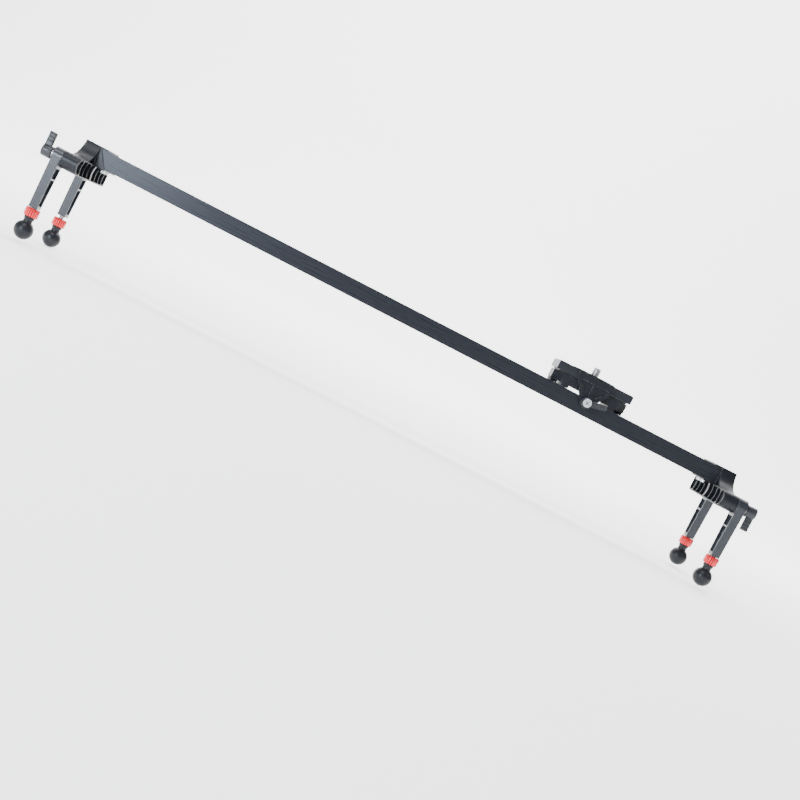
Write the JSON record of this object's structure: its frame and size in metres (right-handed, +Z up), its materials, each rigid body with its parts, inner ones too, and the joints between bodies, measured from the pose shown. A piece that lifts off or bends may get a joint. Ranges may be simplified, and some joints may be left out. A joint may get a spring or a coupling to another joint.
{
  "type": "camera slider",
  "caption": "Straight camera slider: a braked carriage runs along a channel rail between end brackets with hinged legs on adjustable ball feet.",
  "frame": {"origin": "mouth of the middle tripod thread, on the rail's underside at mid length", "axes": "+Z up, X along the rail, brake lever side facing -Y"},
  "size_m": [0.8962, 0.1469, 0.1713],
  "materials": {
    "rail_anodised": "satin black anodised, fine lengthwise brushing",
    "plate_anodised": "satin black anodised",
    "bracket_casting": "satin black powder coat on a die casting",
    "carriage_casting": "satin black powder coat",
    "leg_paint": "satin dark grey paint",
    "lever_plastic": "fine matt moulding texture",
    "screw_steel": "bright zinc",
    "stud_steel": "turned and threaded",
    "insert_steel": "turned",
    "bearing_steel": "ground",
    "brake_screw_chrome": "bright, cross recess",
    "ring_red": "bright red anodised, fluted",
    "foot_rubber": "satin moulded rubber",
    "pad_rubber": "fine ribbed grip",
    "buffer_rubber": "matt",
    "spacer_plastic": "matt",
    "wiper_felt": "dense felt"
  },
  "bodies": {
    "frame": {"rail": "rail_anodised", "tripod_inserts": "insert_steel", "end_bracket_left": "bracket_casting", "end_bracket_right": "bracket_casting", "bracket_screws_left": "screw_steel", "bracket_screws_right": "screw_steel", "end_buffer_left": "buffer_rubber", "end_buffer_right": "buffer_rubber", "pivot_stud_near_left": "stud_steel", "pivot_stud_far_left": "stud_steel", "pivot_stud_near_right": "stud_steel", "pivot_stud_far_right": "stud_steel", "hub_washer_near_left": "stud_steel", "hub_washer_far_left": "stud_steel", "hub_washer_near_right": "stud_steel", "hub_washer_far_right": "stud_steel"},
    "carriage": {"carriage_body": "carriage_casting", "carriage_spacer": "spacer_plastic", "carriage_plate": "plate_anodised", "plate_screws": "screw_steel", "friction_pad": "pad_rubber", "camera_screw": "stud_steel", "rail_wipers": "wiper_felt", "roller_axles": "bearing_steel", "axle_spacers": "bearing_steel", "bearing_inner_races": "bearing_steel", "side_bracket": "carriage_casting", "bracket_pins": "stud_steel"},
    "brake_arm": {"brake_lever": "lever_plastic", "brake_screw": "brake_screw_chrome"},
    "brake_shoe": {"brake_pad": "buffer_rubber"},
    "roller_body_near_left": {"roller_near_left": "bearing_steel"},
    "roller_body_far_left": {"roller_far_left": "bearing_steel"},
    "roller_body_near_right": {"roller_near_right": "bearing_steel"},
    "roller_body_far_right": {"roller_far_right": "bearing_steel"},
    "leg_arm_near_left": {"leg_near_left": "leg_paint"},
    "lever_arm_near_left": {"lock_lever_near_left": "lever_plastic"},
    "foot_screw_near_left": {"foot_stud_near_left": "stud_steel", "ball_foot_near_left": "foot_rubber"},
    "ring_nut_near_left": {"lock_ring_near_left": "ring_red"},
    "leg_arm_far_left": {"leg_far_left": "leg_paint"},
    "lever_arm_far_left": {"lock_lever_far_left": "lever_plastic"},
    "foot_screw_far_left": {"foot_stud_far_left": "stud_steel", "ball_foot_far_left": "foot_rubber"},
    "ring_nut_far_left": {"lock_ring_far_left": "ring_red"},
    "leg_arm_near_right": {"leg_near_right": "leg_paint"},
    "lever_arm_near_right": {"lock_lever_near_right": "lever_plastic"},
    "foot_screw_near_right": {"foot_stud_near_right": "stud_steel", "ball_foot_near_right": "foot_rubber"},
    "ring_nut_near_right": {"lock_ring_near_right": "ring_red"},
    "leg_arm_far_right": {"leg_far_right": "leg_paint"},
    "lever_arm_far_right": {"lock_lever_far_right": "lever_plastic"},
    "foot_screw_far_right": {"foot_stud_far_right": "stud_steel", "ball_foot_far_right": "foot_rubber"},
    "ring_nut_far_right": {"lock_ring_far_right": "ring_red"}
  },
  "joints": [
    {"name": "carriage_slide", "type": "slide", "parent": "frame", "child": "carriage", "axis": [1, 0, 0], "range_m": [-0.562, 0.118]},
    {"name": "brake_turn", "type": "hinge", "parent": "carriage", "child": "brake_arm", "pos_m": [0.222, -0.034, 0.0157], "axis": [0, -1, 0], "range_deg": [-35, 60]},
    {"name": "brake_press", "type": "slide", "parent": "carriage", "child": "brake_shoe", "axis": [0, 1, 0], "range_m": [-0.00025, 0.00015]},
    {"name": "roller_spin_near_left", "type": "hinge", "parent": "carriage", "child": "roller_body_near_left", "pos_m": [0.192, -0.01395, 0.0121], "axis": [0, 0, 1], "continuous": true},
    {"name": "roller_spin_far_left", "type": "hinge", "parent": "carriage", "child": "roller_body_far_left", "pos_m": [0.192, 0.01395, 0.0121], "axis": [0, 0, 1], "continuous": true},
    {"name": "roller_spin_near_right", "type": "hinge", "parent": "carriage", "child": "roller_body_near_right", "pos_m": [0.252, -0.01395, 0.0121], "axis": [0, 0, 1], "continuous": true},
    {"name": "roller_spin_far_right", "type": "hinge", "parent": "carriage", "child": "roller_body_far_right", "pos_m": [0.252, 0.01395, 0.0121], "axis": [0, 0, 1], "continuous": true},
    {"name": "leg_swing_near_left", "type": "hinge", "parent": "frame", "child": "leg_arm_near_left", "pos_m": [-0.4284, -0.057, -0.01], "axis": [-1, 0, 0], "range_deg": [0, 90]},
    {"name": "lever_turn_near_left", "type": "hinge", "parent": "frame", "child": "lever_arm_near_left", "pos_m": [-0.442, -0.057, -0.01], "axis": [1, 0, 0], "range_deg": [-60, 60]},
    {"name": "foot_extend_near_left", "type": "slide", "parent": "leg_arm_near_left", "child": "foot_screw_near_left", "axis": [0, 0, -1], "range_m": [0, 0.012]},
    {"name": "ring_turn_near_left", "type": "hinge", "parent": "foot_screw_near_left", "child": "ring_nut_near_left", "pos_m": [-0.4284, -0.057, -0.079], "axis": [0, 0, 1], "continuous": true},
    {"name": "leg_swing_far_left", "type": "hinge", "parent": "frame", "child": "leg_arm_far_left", "pos_m": [-0.4284, 0.057, -0.01], "axis": [1, 0, 0], "range_deg": [0, 90]},
    {"name": "lever_turn_far_left", "type": "hinge", "parent": "frame", "child": "lever_arm_far_left", "pos_m": [-0.442, 0.057, -0.01], "axis": [1, 0, 0], "range_deg": [-60, 60]},
    {"name": "foot_extend_far_left", "type": "slide", "parent": "leg_arm_far_left", "child": "foot_screw_far_left", "axis": [0, 0, -1], "range_m": [-0.003, 0.009]},
    {"name": "ring_turn_far_left", "type": "hinge", "parent": "foot_screw_far_left", "child": "ring_nut_far_left", "pos_m": [-0.4284, 0.057, -0.082], "axis": [0, 0, 1], "continuous": true},
    {"name": "leg_swing_near_right", "type": "hinge", "parent": "frame", "child": "leg_arm_near_right", "pos_m": [0.4284, -0.057, -0.01], "axis": [-1, 0, 0], "range_deg": [0, 90]},
    {"name": "lever_turn_near_right", "type": "hinge", "parent": "frame", "child": "lever_arm_near_right", "pos_m": [0.442, -0.057, -0.01], "axis": [1, 0, 0], "range_deg": [-60, 60]},
    {"name": "foot_extend_near_right", "type": "slide", "parent": "leg_arm_near_right", "child": "foot_screw_near_right", "axis": [0, 0, -1], "range_m": [0, 0.012]},
    {"name": "ring_turn_near_right", "type": "hinge", "parent": "foot_screw_near_right", "child": "ring_nut_near_right", "pos_m": [0.4284, -0.057, -0.079], "axis": [0, 0, 1], "continuous": true},
    {"name": "leg_swing_far_right", "type": "hinge", "parent": "frame", "child": "leg_arm_far_right", "pos_m": [0.4284, 0.057, -0.01], "axis": [1, 0, 0], "range_deg": [0, 90]},
    {"name": "lever_turn_far_right", "type": "hinge", "parent": "frame", "child": "lever_arm_far_right", "pos_m": [0.442, 0.057, -0.01], "axis": [1, 0, 0], "range_deg": [-60, 60]},
    {"name": "foot_extend_far_right", "type": "slide", "parent": "leg_arm_far_right", "child": "foot_screw_far_right", "axis": [0, 0, -1], "range_m": [0, 0.012]},
    {"name": "ring_turn_far_right", "type": "hinge", "parent": "foot_screw_far_right", "child": "ring_nut_far_right", "pos_m": [0.4284, 0.057, -0.079], "axis": [0, 0, 1], "continuous": true}
  ],
  "couplings": [
    {"joint": "brake_press", "follows": "brake_turn", "m_per_rad": -0.0002},
    {"joint": "roller_spin_near_left", "follows": "carriage_slide", "rad_per_m": -125},
    {"joint": "roller_spin_far_left", "follows": "carriage_slide", "rad_per_m": 125},
    {"joint": "roller_spin_near_right", "follows": "carriage_slide", "rad_per_m": -125},
    {"joint": "roller_spin_far_right", "follows": "carriage_slide", "rad_per_m": 125}
  ]
}
